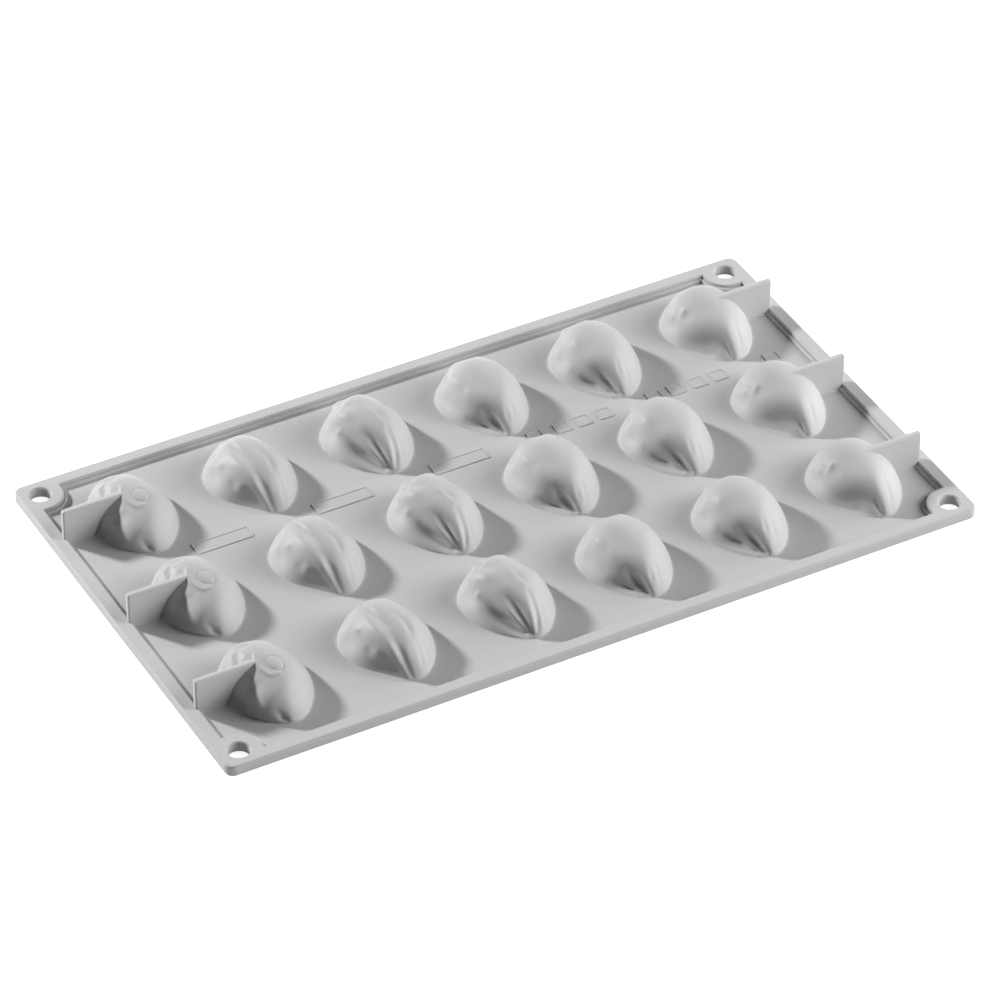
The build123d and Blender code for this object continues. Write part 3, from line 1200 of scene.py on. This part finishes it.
@dataclass
class Studio:
    """Floor, lamps, background and camera, in metres and degrees. The lens is in millimetres."""

    camera_azimuth: float = -28.524
    camera_elevation: float = 38.277
    camera_distance: float = 2.098
    camera_target: tuple[float, float, float] = (0.00374, 0.00274, 0.0)
    camera_clip: tuple[float, float] = (0.1, 50.0)
    lens: float = 209.94
    floor_size: float = 6.0
    floor_drop: float = 0.0002
    floor_colour: float = 0.85
    floor_glow: float = 0.8
    ambient: float = 0.02
    lamps: tuple[Lamp, ...] = (
        Lamp("key", azimuth=-140.0, elevation=28.5, distance=1.6, size=0.16, power=31.0),
        Lamp("side_near", azimuth=58.0, elevation=16.0, distance=1.6, size=0.9, power=10.5),
        Lamp("side_far", azimuth=92.0, elevation=16.0, distance=1.6, size=0.9, power=12.0),
        Lamp("side_high", azimuth=52.0, elevation=34.0, distance=1.6, size=0.9, power=14.0),
    )

    def build(self) -> None:
        """Builds the whole stage."""
        self.floor()
        self.world()
        target = Vector(self.camera_target)
        for lamp in self.lamps:
            lamp.build(target)
        self.camera(target)
        bpy.context.scene.view_settings.view_transform = "Standard"

    def camera(self, target: Vector) -> None:
        """Makes the camera at the photograph's angle.

        Args:
            target: the point at the middle of the view.
        """
        back = direction(self.camera_azimuth, self.camera_elevation)
        data = bpy.data.cameras.new("camera")
        data.lens = self.lens
        data.clip_start, data.clip_end = self.camera_clip
        camera = bpy.data.objects.new("camera", data)
        camera.location = target + back * self.camera_distance
        camera.rotation_mode = "QUATERNION"
        camera.rotation_quaternion = (-back).to_track_quat("-Z", "Y")
        bpy.context.scene.collection.objects.link(camera)
        bpy.context.scene.camera = camera

    def floor(self) -> None:
        """Lays the pale floor just below the mould."""
        made = bmesh.new()
        bmesh.ops.create_grid(made, x_segments=1, y_segments=1, size=self.floor_size / 2)
        bmesh.ops.translate(made, verts=made.verts, vec=(0.0, 0.0, -self.floor_drop))
        mesh = bpy.data.meshes.new("floor")
        made.to_mesh(mesh)
        made.free()
        floor = bpy.data.objects.new("floor", mesh)
        bpy.context.scene.collection.objects.link(floor)
        material = bpy.data.materials.new("floor_white")
        material.use_nodes = True
        tree = material.node_tree
        shader = tree.nodes["Principled BSDF"]
        shader.inputs["Base Color"].default_value = (*[self.floor_colour] * 3, 1.0)
        shader.inputs["Roughness"].default_value = 1.0
        shader.inputs["Specular IOR Level"].default_value = 0.0
        seen = self.seen_rays(tree)
        glow = math_node(tree, "MULTIPLY", seen, self.floor_glow)
        shader.inputs["Emission Color"].default_value = (1.0, 1.0, 1.0, 1.0)
        tree.links.new(glow, shader.inputs["Emission Strength"])
        mesh.materials.append(material)

    def seen_rays(self, tree: bpy.types.NodeTree) -> bpy.types.NodeSocket:
        """Camera, glossy and transmission rays, as one mask.

        Args:
            tree: the tree that gets the nodes.

        Returns:
            The mask socket.
        """
        rays = tree.nodes.new("ShaderNodeLightPath")
        glossy, passed = rays.outputs["Is Glossy Ray"], rays.outputs["Is Transmission Ray"]
        shiny = math_node(tree, "MAXIMUM", glossy, passed)
        return math_node(tree, "MAXIMUM", rays.outputs["Is Camera Ray"], shiny)

    def world(self) -> None:
        """Sets a soft ambient light, seen as plain white."""
        world = bpy.data.worlds.new("studio")
        world.use_nodes = True
        tree = world.node_tree
        background = tree.nodes["Background"]
        background.inputs["Color"].default_value = (1.0, 1.0, 1.0, 1.0)
        seen = self.seen_rays(tree)
        strength = math_node(tree, "MAXIMUM", seen, self.ambient)
        tree.links.new(strength, background.inputs["Strength"])
        bpy.context.scene.world = world


def main() -> None:
    """Builds the mould's looks and the studio."""
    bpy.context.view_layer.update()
    Web().build()
    Rim().build()
    for end in End:
        Fins(end).build()
    for column, pattern in zip(COLUMNS, PATTERNS):
        NutCup(column, pattern).build()
    Studio().build()


if __name__ == "__main__":
    logging.basicConfig(level=logging.INFO, format="%(name)s: %(message)s")
    main()
